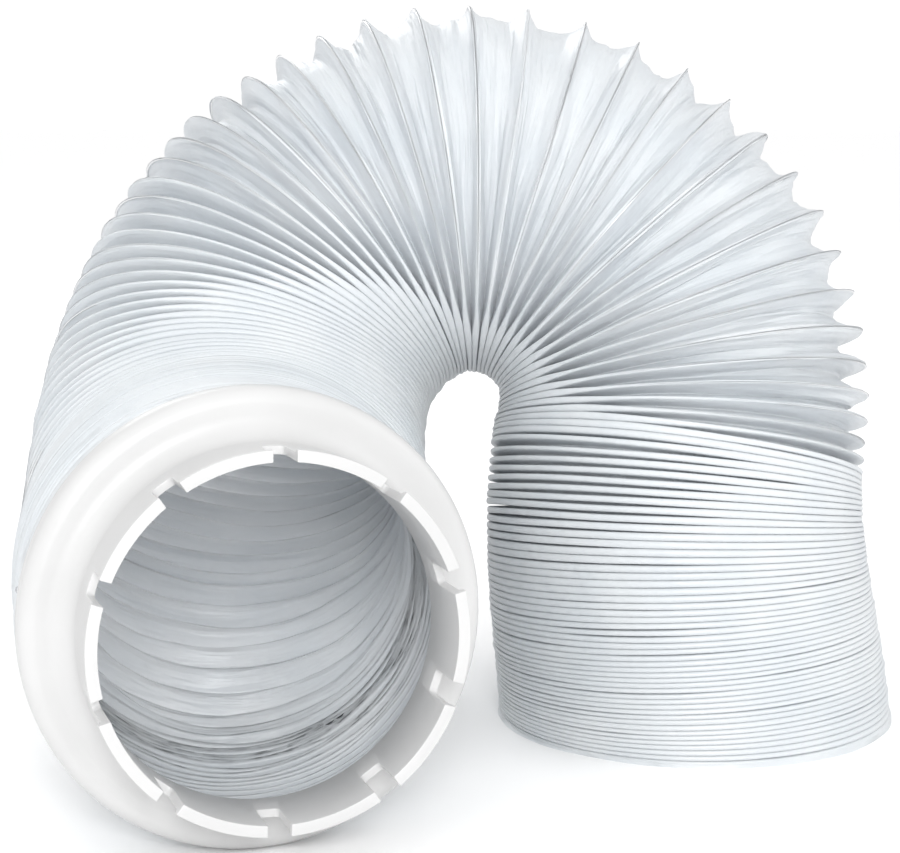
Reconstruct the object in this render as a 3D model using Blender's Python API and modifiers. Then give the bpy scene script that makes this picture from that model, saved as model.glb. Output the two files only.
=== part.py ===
"""A tumble-dryer vent hose: pleated plastic film on a sprung wire, with a push-in collar on one end.

The hose stands in an arch. Its bare end is a stack of closed pleats on the floor, the pleats
fan open over the top of the arch, and the far end closes up again as it turns towards the
front, where the collar's rim rests on the floor. Metres, +Z up.
"""

import math
from dataclasses import dataclass

import bmesh
import bpy
from mathutils import Matrix, Quaternion, Vector

# Hose section
HOSE_DIAMETER = 0.106
WIRE_DIAMETER = 0.0009
FOLD_DEPTH = 0.0065
FILM_WALL = 0.0008
CLEARANCE = 0.0003

# Turns of wire, counted from the bare end
FOOT_HEM_TURNS = 2
FAN_FIRST_TURN = 52
FAN_LAST_TURN = 80
ELBOW_LAST_TURN = 104
COLLAR_CUFF_TURNS = 4
HOSE_TURNS = 130
BUNDLE_TURNS = 6
ELBOW_STEP_TURNS = 2
BUNDLE_GROOVE = 0.0005

# How much the hose springs wider, in radius, at the bare end and half way round the elbow
FOOT_SPREAD = 0.0030
ELBOW_SPREAD = 0.0026

# Collar, measured along its own axis from the hose's end
COLLAR_RIM_DIAMETER = 0.1105
COLLAR_RIM_WIDTH = 0.0080
COLLAR_LIP_ROUND = 0.0040
COLLAR_GROOVE_RADIUS = 0.0060
COLLAR_WALL = 0.0020
COLLAR_DEPTH = 0.0330
COLLAR_NECK_DIAMETER = 0.0865
COLLAR_BEAD = 0.0008
COLLAR_BEAD_WIDTH = 0.0020
SPIGOT_LENGTH = 0.0050
SLOT_COUNT = 10
SLOT_WIDTH = 0.0055
SLOT_DEPTH = 0.0130
FIRST_SLOT_ANGLE = math.radians(24)

# Smoothness of the solids
HOSE_SEGMENTS = 20
COLLAR_SEGMENTS = 48
SMOOTH_ANGLE = math.radians(35)

# Straight hose, before it is bent: one turn of wire is this long
STRAIGHT_PITCH = 0.008

# How the open pleats and turns run on into the closed ones, so that they join as one body
JOIN_INSET = 0.0001
JOIN_SHARE = 0.37
WIRE_TAIL_TURNS = 0.4

# What follows from the sizes above
HOSE_RADIUS = HOSE_DIAMETER / 2
WIRE_RADIUS = WIRE_DIAMETER / 2
COIL_BORE_RADIUS = HOSE_RADIUS - WIRE_DIAMETER - JOIN_INSET
FILM_RADIUS = COIL_BORE_RADIUS - CLEARANCE
VALLEY_RADIUS = FILM_RADIUS - FOLD_DEPTH
CUFF_BORE_RADIUS = FILM_RADIUS - FILM_WALL
FOLD_BORE_RADIUS = VALLEY_RADIUS - FILM_WALL - JOIN_INSET
COLLAR_RIM_RADIUS = COLLAR_RIM_DIAMETER / 2
NECK_RADIUS = COLLAR_NECK_DIAMETER / 2
SPIGOT_RADIUS = CUFF_BORE_RADIUS * math.cos(math.pi / HOSE_SEGMENTS) - CLEARANCE
WIRE_LAST_TURN = HOSE_TURNS - COLLAR_CUFF_TURNS


@dataclass(frozen=True)
class Station:
    """The bend of the hose at one turn of its wire, in degrees a turn.

    arch bends the hose over in the plane of the arch, swing turns it towards the front,
    inner_pitch is how far apart the turns lie on the inside of the bend, and slide is how far
    each turn is pushed sideways on the one before it.
    """

    turn: int
    arch: float
    swing: float
    inner_pitch: float
    slide: float = 0.0


ROUTE = (
    Station(turn=0, arch=0.41, swing=0.01, inner_pitch=0.00111, slide=-0.00011),
    Station(turn=48, arch=-0.73, swing=-0.58, inner_pitch=0.00111, slide=-0.00011),
    Station(turn=56, arch=5.28, swing=0.03, inner_pitch=0.00132, slide=0.00050),
    Station(turn=60, arch=6.78, swing=-0.06, inner_pitch=0.00127),
    Station(turn=66, arch=9.09, swing=-0.19, inner_pitch=0.00113),
    Station(turn=74, arch=4.28, swing=1.33, inner_pitch=0.00124),
    Station(turn=82, arch=2.31, swing=1.72, inner_pitch=0.00129),
    Station(turn=92, arch=0.49, swing=2.42, inner_pitch=0.00162),
    Station(turn=98, arch=-0.39, swing=5.67, inner_pitch=0.00136),
    Station(turn=104, arch=0.37, swing=-0.69, inner_pitch=0.00121),
    Station(turn=116, arch=-0.22, swing=0.68, inner_pitch=0.00120),
    Station(turn=HOSE_TURNS, arch=1.37, swing=-0.17, inner_pitch=0.00170),
)


def clear_scene():
    for obj in list(bpy.data.objects):
        bpy.data.objects.remove(obj, do_unlink=True)


def make_collection(name):
    collection = bpy.data.collections.new(name)
    bpy.context.scene.collection.children.link(collection)
    return collection


def make_material(name, colour, roughness, metallic=0.0):
    material = bpy.data.materials.new(name)
    material.use_nodes = True
    shader = material.node_tree.nodes["Principled BSDF"]
    shader.inputs["Base Color"].default_value = (*colour, 1.0)
    shader.inputs["Roughness"].default_value = roughness
    shader.inputs["Metallic"].default_value = metallic
    material.diffuse_color = (*colour, 1.0)
    return material


def bend_at(turn):
    """The arch, swing, inner pitch and slide at a turn, blended between the stations beside it."""
    for before, after in zip(ROUTE, ROUTE[1:]):
        if turn <= after.turn:
            break
    share = (turn - before.turn) / (after.turn - before.turn)
    arch = before.arch + share * (after.arch - before.arch)
    swing = before.swing + share * (after.swing - before.swing)
    inner_pitch = before.inner_pitch + share * (after.inner_pitch - before.inner_pitch)
    slide = before.slide + share * (after.slide - before.slide)
    return math.radians(arch), math.radians(swing), inner_pitch, slide


def spread_at(turn):
    """How much wider than its plain radius the hose is at a turn."""
    if turn < FAN_FIRST_TURN:
        return FOOT_SPREAD * (1 - turn / FAN_FIRST_TURN)
    share = (turn - FAN_LAST_TURN) / (WIRE_LAST_TURN - FAN_LAST_TURN)
    return ELBOW_SPREAD * math.sin(math.pi * min(max(share, 0.0), 1.0))


class HoseRoute:
    """Where each turn's ring lies: its centre, and a frame whose Z is the hose's axis."""

    def __init__(self):
        self.steps = []
        centre = Vector((0.0, 0.0, 0.0))
        frame = Quaternion()
        for turn in range(HOSE_TURNS + 1):
            arch, swing, inner_pitch, slide = bend_at(turn + 0.5)
            bend = math.hypot(arch, swing)
            pitch = inner_pitch + HOSE_RADIUS * bend
            self.steps.append((centre, frame, arch, swing, pitch, slide))
            centre, frame = self.step_along(self.steps[-1], 1.0)

    @staticmethod
    def step_along(step, share):
        """The centre and frame a share of a turn further on."""
        centre, frame, arch, swing, pitch, slide = step
        bend = math.hypot(arch, swing)
        axis = Vector((swing, -arch, 0.0)) / bend
        halfway = frame @ Quaternion(axis, bend * share / 2)
        moved = centre + halfway @ Vector((slide * share, 0.0, pitch * share))
        return moved, frame @ Quaternion(axis, bend * share)

    def at(self, turn):
        whole = min(max(int(math.floor(turn)), 0), HOSE_TURNS)
        return self.step_along(self.steps[whole], turn - whole)

    def point(self, turn, radius, angle):
        centre, frame = self.at(turn)
        spread = radius * (1 + spread_at(turn) / HOSE_RADIUS)
        return centre + frame @ Vector((spread * math.cos(angle), spread * math.sin(angle), 0.0))

    def bend_mesh(self, mesh):
        """Moves a straight piece's vertices onto the bent hose."""
        for vertex in mesh.vertices:
            x, y, z = vertex.co
            vertex.co = self.point(z / STRAIGHT_PITCH, math.hypot(x, y), math.atan2(y, x))


def add_object(name, mesh, collection, material=None):
    obj = bpy.data.objects.new(name, mesh)
    collection.objects.link(obj)
    if material:
        mesh.materials.append(material)
    return obj


def outline_object(name, points, collection, closed):
    """A profile of (radius, height) points, for a Screw modifier."""
    mesh = bpy.data.meshes.new(name)
    last = len(points) - 1
    edges = [(i, i + 1) for i in range(last)]
    if closed:
        edges.append((last, 0))
    mesh.from_pydata([(radius, 0.0, height) for radius, height in points], edges, [])
    return add_object(name, mesh, collection)


def turned(name, points, collection, segments):
    """A closed profile turned once about Z."""
    obj = outline_object(name, points, collection, closed=True)
    screw = obj.modifiers.new("turn", "SCREW")
    screw.axis = "Z"
    screw.angle = math.tau
    screw.steps = segments
    screw.render_steps = segments
    screw.use_merge_vertices = True
    screw.merge_threshold = 0.00001
    return obj


def evaluated_mesh(obj):
    graph = bpy.context.evaluated_depsgraph_get()
    graph.update()
    return bpy.data.meshes.new_from_object(obj.evaluated_get(graph))


def made_plain(obj, collection, name):
    """The object with its modifiers applied, as a new object of plain mesh."""
    mesh = evaluated_mesh(obj)
    mesh.name = name
    bpy.data.objects.remove(obj, do_unlink=True)
    return add_object(name, mesh, collection)


def joined(name, base, others, collection):
    """One plain mesh, from a base and the pieces united with it."""
    for number, other in enumerate(others):
        union = base.modifiers.new(f"join_{number}", "BOOLEAN")
        union.operation = "UNION"
        union.solver = "EXACT"
        union.object = other
    result = made_plain(base, collection, name)
    for other in others:
        bpy.data.objects.remove(other, do_unlink=True)
    return result


def stack_turns(first_turn, last_turn, bundle=BUNDLE_TURNS):
    """Turn numbers that split a stack of closed pleats into bundles."""
    bundles = max(1, round((last_turn - first_turn) / bundle))
    return [first_turn + (last_turn - first_turn) * i / bundles for i in range(bundles + 1)]


def foot_film(collection):
    """The bare end: a plain hem, then closed pleats as one thick wall, since their folds lie together."""
    heights = [turn * STRAIGHT_PITCH for turn in stack_turns(FOOT_HEM_TURNS, FAN_FIRST_TURN)]
    heights.append((FAN_FIRST_TURN + JOIN_SHARE) * STRAIGHT_PITCH)
    outer = [(FILM_RADIUS, 0.0)] + [(FILM_RADIUS, height) for height in heights]
    hem = [(CUFF_BORE_RADIUS, 0.0), (CUFF_BORE_RADIUS, heights[0])]
    inner = hem + [(FOLD_BORE_RADIUS, height) for height in heights]
    return turned("foot_film", outer[::-1] + inner, collection, HOSE_SEGMENTS)


def shoulder_film(collection):
    """The far end: closed pleats, then the plain cuff that goes over the collar's spigot."""
    turns = [FAN_LAST_TURN - JOIN_SHARE]
    turns += stack_turns(FAN_LAST_TURN, ELBOW_LAST_TURN, ELBOW_STEP_TURNS)
    turns += stack_turns(ELBOW_LAST_TURN, WIRE_LAST_TURN)[1:]
    heights = [turn * STRAIGHT_PITCH for turn in turns]
    end = HOSE_TURNS * STRAIGHT_PITCH
    outer = [(FILM_RADIUS, height) for height in heights] + [(FILM_RADIUS, end)]
    cuff = [(CUFF_BORE_RADIUS, heights[-1]), (CUFF_BORE_RADIUS, end)]
    inner = [(FOLD_BORE_RADIUS, height) for height in heights] + cuff
    return turned("shoulder_film", outer[::-1] + inner, collection, HOSE_SEGMENTS)


def open_pleats(name, first_turn, last_turn, collection):
    """Pleats that run in a screw line, crest at the wire and valley between two turns."""
    start = first_turn * STRAIGHT_PITCH
    crest = FILM_RADIUS - JOIN_INSET
    outline = [
        (crest, start + STRAIGHT_PITCH),
        (VALLEY_RADIUS, start + STRAIGHT_PITCH / 2),
        (crest, start),
    ]
    obj = outline_object(name, outline, collection, closed=False)
    screw = obj.modifiers.new("turns", "SCREW")
    screw.axis = "Z"
    screw.angle = math.tau
    screw.screw_offset = STRAIGHT_PITCH
    screw.iterations = last_turn - first_turn
    screw.steps = HOSE_SEGMENTS
    screw.render_steps = HOSE_SEGMENTS
    weld = obj.modifiers.new("seam", "WELD")
    weld.merge_threshold = 0.00001
    wall = obj.modifiers.new("film", "SOLIDIFY")
    wall.thickness = FILM_WALL
    wall.offset = -1.0
    return obj


def film_sleeve(route, parts, guides, material):
    """The film from end to end, made straight and then bent."""
    fan = open_pleats("fan_film", FAN_FIRST_TURN - 1, FAN_LAST_TURN + 1, guides)
    fan = made_plain(fan, guides, "fan_film")
    sleeve = joined("film_sleeve", fan, [foot_film(guides), shoulder_film(guides)], parts)
    route.bend_mesh(sleeve.data)
    sleeve.data.materials.clear()
    sleeve.data.materials.append(material)
    return sleeve


def coil_stack(name, first_turn, last_turn, collection):
    """Turns of wire that lie against each other, as one turned coil ridged in bundles."""
    bore = COIL_BORE_RADIUS
    crest = HOSE_RADIUS + JOIN_INSET
    groove = crest - BUNDLE_GROOVE
    heights = [turn * STRAIGHT_PITCH for turn in stack_turns(first_turn, last_turn)]
    outer = [(groove, heights[0])]
    for below, above in zip(heights, heights[1:]):
        outer += [(crest, (below + above) / 2), (groove, above)]
    inner = [(bore, height) for height in heights]
    return turned(name, outer[::-1] + inner, collection, HOSE_SEGMENTS)


def open_turns(name, route, first_turn, last_turn, collection):
    """The wire where its turns stand apart, as a round wire along the crests."""
    curve = bpy.data.curves.new(name, "CURVE")
    curve.dimensions = "3D"
    curve.bevel_depth = WIRE_RADIUS
    curve.bevel_resolution = 0
    curve.use_fill_caps = True
    first_step = round(first_turn * HOSE_SEGMENTS)
    last_step = round(last_turn * HOSE_SEGMENTS)
    spline = curve.splines.new("POLY")
    spline.points.add(last_step - first_step)
    for point, step in zip(spline.points, range(first_step, last_step + 1)):
        angle = math.tau * step / HOSE_SEGMENTS
        place = route.point(step / HOSE_SEGMENTS, HOSE_RADIUS - WIRE_RADIUS, angle)
        point.co = (*place, 1.0)
    obj = add_object(name, curve, collection)
    mesh = evaluated_mesh(obj)
    weld_points(mesh)
    bpy.data.objects.remove(obj, do_unlink=True)
    return add_object(name, mesh, collection)


def weld_points(mesh):
    shape = bmesh.new()
    shape.from_mesh(mesh)
    bmesh.ops.remove_doubles(shape, verts=shape.verts, dist=0.000005)
    shape.to_mesh(mesh)
    shape.free()


def spring_wire(route, parts, guides, material):
    """The wire from end to end: closed coil, open turns over the arch and elbow, closed coil."""
    foot = made_plain(
        coil_stack("foot_coil", FOOT_HEM_TURNS, FAN_FIRST_TURN, guides), guides, "foot_coil"
    )
    cuff = made_plain(
        coil_stack("cuff_coil", ELBOW_LAST_TURN, WIRE_LAST_TURN, guides), guides, "cuff_coil"
    )
    route.bend_mesh(foot.data)
    route.bend_mesh(cuff.data)
    first_turn = FAN_FIRST_TURN - WIRE_TAIL_TURNS
    last_turn = ELBOW_LAST_TURN + WIRE_TAIL_TURNS
    between = open_turns("open_wire", route, first_turn, last_turn, guides)
    wire = joined("spring_wire", between, [foot, cuff], parts)
    wire.data.materials.clear()
    wire.data.materials.append(material)
    return wire


def arc(centre_radius, centre_height, radius, start, end, pieces=4):
    """Points of a round corner in a turned outline, from one angle in degrees to another."""
    angles = [math.radians(start + (end - start) * i / pieces) for i in range(pieces + 1)]
    return [
        (centre_radius + radius * math.cos(angle), centre_height + radius * math.sin(angle))
        for angle in angles
    ]


def collar_outline():
    """The collar's section: skirt, groove and rounded rim outside, spigot and cone inside."""
    back = CLEARANCE
    edge = COLLAR_DEPTH
    bead = NECK_RADIUS + COLLAR_BEAD
    groove = COLLAR_GROOVE_RADIUS
    lip = COLLAR_LIP_ROUND
    outline = [(bead, edge), (bead, edge - COLLAR_BEAD_WIDTH)]
    outline.append((NECK_RADIUS, edge - COLLAR_BEAD_WIDTH - COLLAR_BEAD))
    outline += arc(NECK_RADIUS + groove, COLLAR_RIM_WIDTH + groove, groove, 180, 270)
    outline += arc(COLLAR_RIM_RADIUS - lip, COLLAR_RIM_WIDTH - lip, lip, 90, 0)
    outline.append((COLLAR_RIM_RADIUS, back))
    outline += [(SPIGOT_RADIUS, back), (SPIGOT_RADIUS, -SPIGOT_LENGTH)]
    outline += [(SPIGOT_RADIUS - COLLAR_WALL, -SPIGOT_LENGTH), (SPIGOT_RADIUS - COLLAR_WALL, back)]
    outline += [(NECK_RADIUS - COLLAR_WALL, COLLAR_RIM_WIDTH + groove / 2)]
    outline += [(NECK_RADIUS - COLLAR_WALL, edge)]
    return outline


def slot_cutters(collection):
    """One box for each slot between the skirt's tabs."""
    mesh = bpy.data.meshes.new("slots")
    shape = bmesh.new()
    reach = COLLAR_BEAD + COLLAR_WALL
    size = (4 * reach, SLOT_WIDTH, 2 * SLOT_DEPTH)
    for number in range(SLOT_COUNT):
        turn = Matrix.Rotation(FIRST_SLOT_ANGLE + math.tau * number / SLOT_COUNT, 4, "Z")
        place = Matrix.Translation((NECK_RADIUS - reach / 2, 0.0, COLLAR_DEPTH))
        scale = Matrix.Diagonal((*size, 1.0))
        bmesh.ops.create_cube(shape, size=1.0, matrix=turn @ place @ scale)
    shape.to_mesh(mesh)
    shape.free()
    cutters = add_object("slots", mesh, collection)
    cutters.hide_render = True
    cutters.display_type = "WIRE"
    return cutters


def collar(route, parts, cutters, material):
    """The push-in collar on the hose's last turn."""
    body = turned("collar", collar_outline(), parts, COLLAR_SEGMENTS)
    slots = slot_cutters(cutters)
    cut = body.modifiers.new("slots", "BOOLEAN")
    cut.operation = "DIFFERENCE"
    cut.solver = "EXACT"
    cut.object = slots
    body.data.materials.append(material)
    centre, frame = route.at(HOSE_TURNS)
    for piece in (body, slots):
        piece.rotation_mode = "QUATERNION"
        piece.location = centre
        piece.rotation_quaternion = frame
    return body, slots


def smooth_shade(obj, angle):
    obj.data.shade_smooth()
    obj.data.set_sharp_from_angle(angle=angle)


def lowest_and_highest(pieces):
    """The corners of the box that holds the pieces as they are evaluated."""
    graph = bpy.context.evaluated_depsgraph_get()
    graph.update()
    points = []
    for piece in pieces:
        mesh = bpy.data.meshes.new_from_object(piece.evaluated_get(graph))
        points += [piece.matrix_world @ vertex.co for vertex in mesh.vertices]
        bpy.data.meshes.remove(mesh)
    low = Vector(min(point[axis] for point in points) for axis in range(3))
    high = Vector(max(point[axis] for point in points) for axis in range(3))
    return low, high


def stand_centred(pieces, cutters, collection):
    """Moves everything so that the part stands on z = 0 with its box centred on the origin."""
    bpy.context.view_layer.update()
    low, high = lowest_and_highest(pieces)
    datum = bpy.data.objects.new("hose_datum", None)
    collection.objects.link(datum)
    datum.location = (-(low.x + high.x) / 2, -(low.y + high.y) / 2, -low.z)
    for obj in pieces + cutters:
        obj.parent = datum


def main():
    clear_scene()
    parts = make_collection("dryer_vent_hose")
    guides = make_collection("guides")
    cutters = make_collection("cutters")
    film = make_material("white_film", (0.80, 0.84, 0.87), 0.35)
    steel = make_material("wire_under_film", (0.88, 0.90, 0.92), 0.40)
    plastic = make_material("white_plastic", (0.90, 0.90, 0.90), 0.45)
    route = HoseRoute()
    sleeve = film_sleeve(route, parts, guides, film)
    wire = spring_wire(route, parts, guides, steel)
    body, slots = collar(route, parts, cutters, plastic)
    for piece in (sleeve, wire, body):
        smooth_shade(piece, SMOOTH_ANGLE)
    stand_centred([sleeve, wire, body], [slots], parts)


main()
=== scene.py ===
"""Looks of a dryer vent hose: pleated white film over a spring wire, and a push-in collar.

The film and the wire follow one rule. A route gives the ring of each turn, the wire runs along
those rings in a screw line, and the film hangs between a turn of wire and the next: a closed fold
where the turns lie together, an open web where the arch spreads them apart.
"""

from __future__ import annotations

import logging
import math
from dataclasses import dataclass
from enum import Enum
from typing import Any, Mapping, Union

import bmesh
import bpy
from mathutils import Matrix, Quaternion, Vector


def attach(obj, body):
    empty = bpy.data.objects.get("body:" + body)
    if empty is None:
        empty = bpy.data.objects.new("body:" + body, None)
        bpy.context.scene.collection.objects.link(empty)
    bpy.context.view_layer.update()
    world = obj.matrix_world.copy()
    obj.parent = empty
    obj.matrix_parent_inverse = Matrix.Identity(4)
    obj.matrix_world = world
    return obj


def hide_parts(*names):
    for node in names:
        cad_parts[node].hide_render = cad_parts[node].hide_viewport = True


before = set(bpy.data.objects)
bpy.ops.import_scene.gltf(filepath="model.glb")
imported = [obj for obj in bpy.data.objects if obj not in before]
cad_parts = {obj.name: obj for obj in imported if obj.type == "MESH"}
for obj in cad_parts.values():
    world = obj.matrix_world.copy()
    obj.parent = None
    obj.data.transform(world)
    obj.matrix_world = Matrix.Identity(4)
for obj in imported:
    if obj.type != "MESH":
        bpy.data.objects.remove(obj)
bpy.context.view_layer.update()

log = logging.getLogger("vent_hose")

BODY = "root"
MILLIMETRE = 0.001


class Slot(Enum):
    """The record's material slots."""

    FILM = "film"
    WIRE = "wire"
    COLLAR = "collar"


class Node(Enum):
    """The CAD nodes that the pieces stand for."""

    SLEEVE = "film_sleeve"
    WIRE = "spring_wire"
    COLLAR = "collar"


class Term:
    """A socket of a node tree, on which arithmetic adds the nodes that work it out."""

    def __init__(self, graph: Graph, socket: bpy.types.NodeSocket) -> None:
        """Keeps the socket and the tree that it is in."""
        self.graph = graph
        self.socket = socket

    @property
    def is_vector(self) -> bool:
        """Whether the socket holds a vector."""
        return self.socket.type == "VECTOR"

    def __add__(self, other: Operand) -> Term:
        """Returns the sum."""
        return self.graph.combine("ADD", self, other)

    def __radd__(self, other: Operand) -> Term:
        """Returns the sum."""
        return self.graph.combine("ADD", other, self)

    def __sub__(self, other: Operand) -> Term:
        """Returns the difference."""
        return self.graph.combine("SUBTRACT", self, other)

    def __rsub__(self, other: Operand) -> Term:
        """Returns the difference, with this term taken away."""
        return self.graph.combine("SUBTRACT", other, self)

    def __mul__(self, other: Operand) -> Term:
        """Returns the product."""
        return self.graph.combine("MULTIPLY", self, other)

    def __rmul__(self, other: Operand) -> Term:
        """Returns the product."""
        return self.graph.combine("MULTIPLY", other, self)

    def __truediv__(self, other: Operand) -> Term:
        """Returns the quotient."""
        return self.graph.combine("DIVIDE", self, other)

    def __pow__(self, other: Operand) -> Term:
        """Returns the power."""
        return self.graph.combine("POWER", self, other)


Operand = Union[float, Term]


class Graph:
    """A node tree that is being built."""

    def __init__(self, tree: bpy.types.NodeTree) -> None:
        """Keeps the tree."""
        self.tree = tree

    @staticmethod
    def _pick(sockets: Any, key: Union[int, str]) -> bpy.types.NodeSocket:
        """Finds a socket by its number, or the live one by its name."""
        if isinstance(key, int):
            return sockets[key]
        return next(socket for socket in sockets if socket.name == key and socket.enabled)

    def add(
        self,
        kind: str,
        settings: Mapping[str, Any] | None = None,
        inputs: Mapping[Union[int, str], Any] | None = None,
    ) -> bpy.types.Node:
        """Adds a node.

        Args:
            kind: The node's type.
            settings: The node's own settings, which are set first.
            inputs: Each socket's value or link, by its number or name.

        Returns:
            The new node.
        """
        node = self.tree.nodes.new(kind)
        for name, value in (settings or {}).items():
            setattr(node, name, value)
        for key, value in (inputs or {}).items():
            socket = self._pick(node.inputs, key)
            if isinstance(value, Term):
                self.tree.links.new(value.socket, socket)
            else:
                socket.default_value = value
        return node

    def term(
        self,
        kind: str,
        settings: Mapping[str, Any] | None = None,
        inputs: Mapping[Union[int, str], Any] | None = None,
        output: Union[int, str] = 0,
    ) -> Term:
        """Adds a node and returns one of its outputs as a term."""
        node = self.add(kind, settings, inputs)
        return Term(self, self._pick(node.outputs, output))

    def combine(self, operation: str, *values: Operand) -> Term:
        """Adds the Math or Vector Math node for an operation.

        Args:
            operation: The operation's name, which both kinds of node share.
            values: Terms and numbers, in the operation's order.

        Returns:
            The result.
        """
        vectors = [value for value in values if isinstance(value, Term) and value.is_vector]
        if not vectors:
            return self.maths(operation, *values)
        if operation == "MULTIPLY" and len(vectors) == 1:
            factor = next(value for value in values if value is not vectors[0])
            return self.vector_maths("SCALE", {0: vectors[0], "Scale": factor})
        return self.vector_maths(operation, dict(enumerate(values)))

    def maths(self, operation: str, *values: Operand) -> Term:
        """Adds a Math node."""
        return self.term("ShaderNodeMath", {"operation": operation}, dict(enumerate(values)))

    def vector_maths(
        self,
        operation: str,
        inputs: Mapping[Union[int, str], Any],
        output: Union[int, str] = 0,
    ) -> Term:
        """Adds a Vector Math node."""
        return self.term("ShaderNodeVectorMath", {"operation": operation}, inputs, output)

    def length(self, vector: Term) -> Term:
        """Returns a vector's length."""
        return self.vector_maths("LENGTH", {0: vector}, "Value")

    def normalised(self, vector: Term) -> Term:
        """Returns a vector at a length of one."""
        return self.vector_maths("NORMALIZE", {0: vector})

    def crossed(self, first: Term, second: Term) -> Term:
        """Returns the cross product."""
        return self.vector_maths("CROSS_PRODUCT", {0: first, 1: second})

    def vector(self, x: Operand, y: Operand, z: Operand) -> Term:
        """Returns a vector made from three numbers."""
        return self.term("ShaderNodeCombineXYZ", None, {0: x, 1: y, 2: z})

    def split(self, vector: Term) -> list[Term]:
        """Returns a vector's three numbers."""
        node = self.add("ShaderNodeSeparateXYZ", None, {0: vector})
        return [Term(self, socket) for socket in node.outputs]

    def smooth_step(self, value: Term, low: float, high: float) -> Term:
        """Returns 0 below low, 1 above high and a smooth rise between them."""
        settings = {"interpolation_type": "SMOOTHSTEP", "clamp": True}
        return self.term(
            "ShaderNodeMapRange", settings, {"Value": value, "From Min": low, "From Max": high}
        )

    def noise(self, place: Term, scale: float = 1.0, detail: float = 0.0) -> Term:
        """Returns smooth noise that swings about zero, from about -0.5 to 0.5."""
        inputs = {"Vector": place, "Scale": scale, "Detail": detail, "Roughness": 0.5}
        return self.term("ShaderNodeTexNoise", {"noise_dimensions": "3D"}, inputs) - 0.5


def hump(share: Term) -> Term:
    """Returns a term that is 0 at both ends of a share and 1 halfway."""
    return share * (1.0 - share) * 4.0


def placed(name: str, data: bpy.types.ID) -> bpy.types.Object:
    """Adds an object to the scene and returns it."""
    obj = bpy.data.objects.new(name, data)
    bpy.context.scene.collection.objects.link(obj)
    return obj


def baked(obj: bpy.types.Object) -> bpy.types.Mesh:
    """Returns the plain mesh that an object's modifiers make of it."""
    graph = bpy.context.evaluated_depsgraph_get()
    graph.update()
    return bpy.data.meshes.new_from_object(obj.evaluated_get(graph))


@dataclass(frozen=True)
class Station:
    """The bend of the hose at one turn of its wire, in degrees a turn.

    Its inner pitch is how far apart the turns lie inside the bend, and its slide is how far each
    turn is pushed sideways on the one before it.
    """

    turn: int
    arch: float
    swing: float
    inner_pitch: float
    slide: float = 0.0


@dataclass(frozen=True)
class HoseSizes:
    """Driving sizes of the hose, in metres and turns of wire.

    They are the CAD's, apart from the elbow's spread. That is smaller here, because the smooth
    film reaches as low there as the CAD's facets do with more.
    """

    diameter: float = 0.106
    fan_first_turn: int = 52
    fan_last_turn: int = 80
    cuff_turns: int = 4
    turns: int = 130
    foot_spread: float = 0.0030
    elbow_spread: float = 0.0020

    @property
    def radius(self) -> float:
        """The hose's outer radius, over the wire."""
        return self.diameter / 2

    @property
    def wire_last_turn(self) -> int:
        """Where the wire ends at the collar's cuff."""
        return self.turns - self.cuff_turns

    def spread_at(self, turn: float) -> float:
        """Returns how much wider than its plain radius the hose is at a turn."""
        if turn < self.fan_first_turn:
            return self.foot_spread * (1 - turn / self.fan_first_turn)
        share = (turn - self.fan_last_turn) / (self.wire_last_turn - self.fan_last_turn)
        return self.elbow_spread * math.sin(math.pi * min(max(share, 0.0), 1.0))


ROUTE = (
    Station(turn=0, arch=0.41, swing=0.01, inner_pitch=0.00111, slide=-0.00011),
    Station(turn=48, arch=-0.73, swing=-0.58, inner_pitch=0.00111, slide=-0.00011),
    Station(turn=56, arch=5.28, swing=0.03, inner_pitch=0.00132, slide=0.00050),
    Station(turn=60, arch=6.78, swing=-0.06, inner_pitch=0.00127),
    Station(turn=66, arch=9.09, swing=-0.19, inner_pitch=0.00113),
    Station(turn=74, arch=4.28, swing=1.33, inner_pitch=0.00124),
    Station(turn=82, arch=2.31, swing=1.72, inner_pitch=0.00129),
    Station(turn=92, arch=0.49, swing=2.42, inner_pitch=0.00162),
    Station(turn=98, arch=-0.39, swing=5.67, inner_pitch=0.00136),
    Station(turn=104, arch=0.37, swing=-0.69, inner_pitch=0.00121),
    Station(turn=116, arch=-0.22, swing=0.68, inner_pitch=0.00120),
    Station(turn=130, arch=1.37, swing=-0.17, inner_pitch=0.00170),
)


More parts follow.
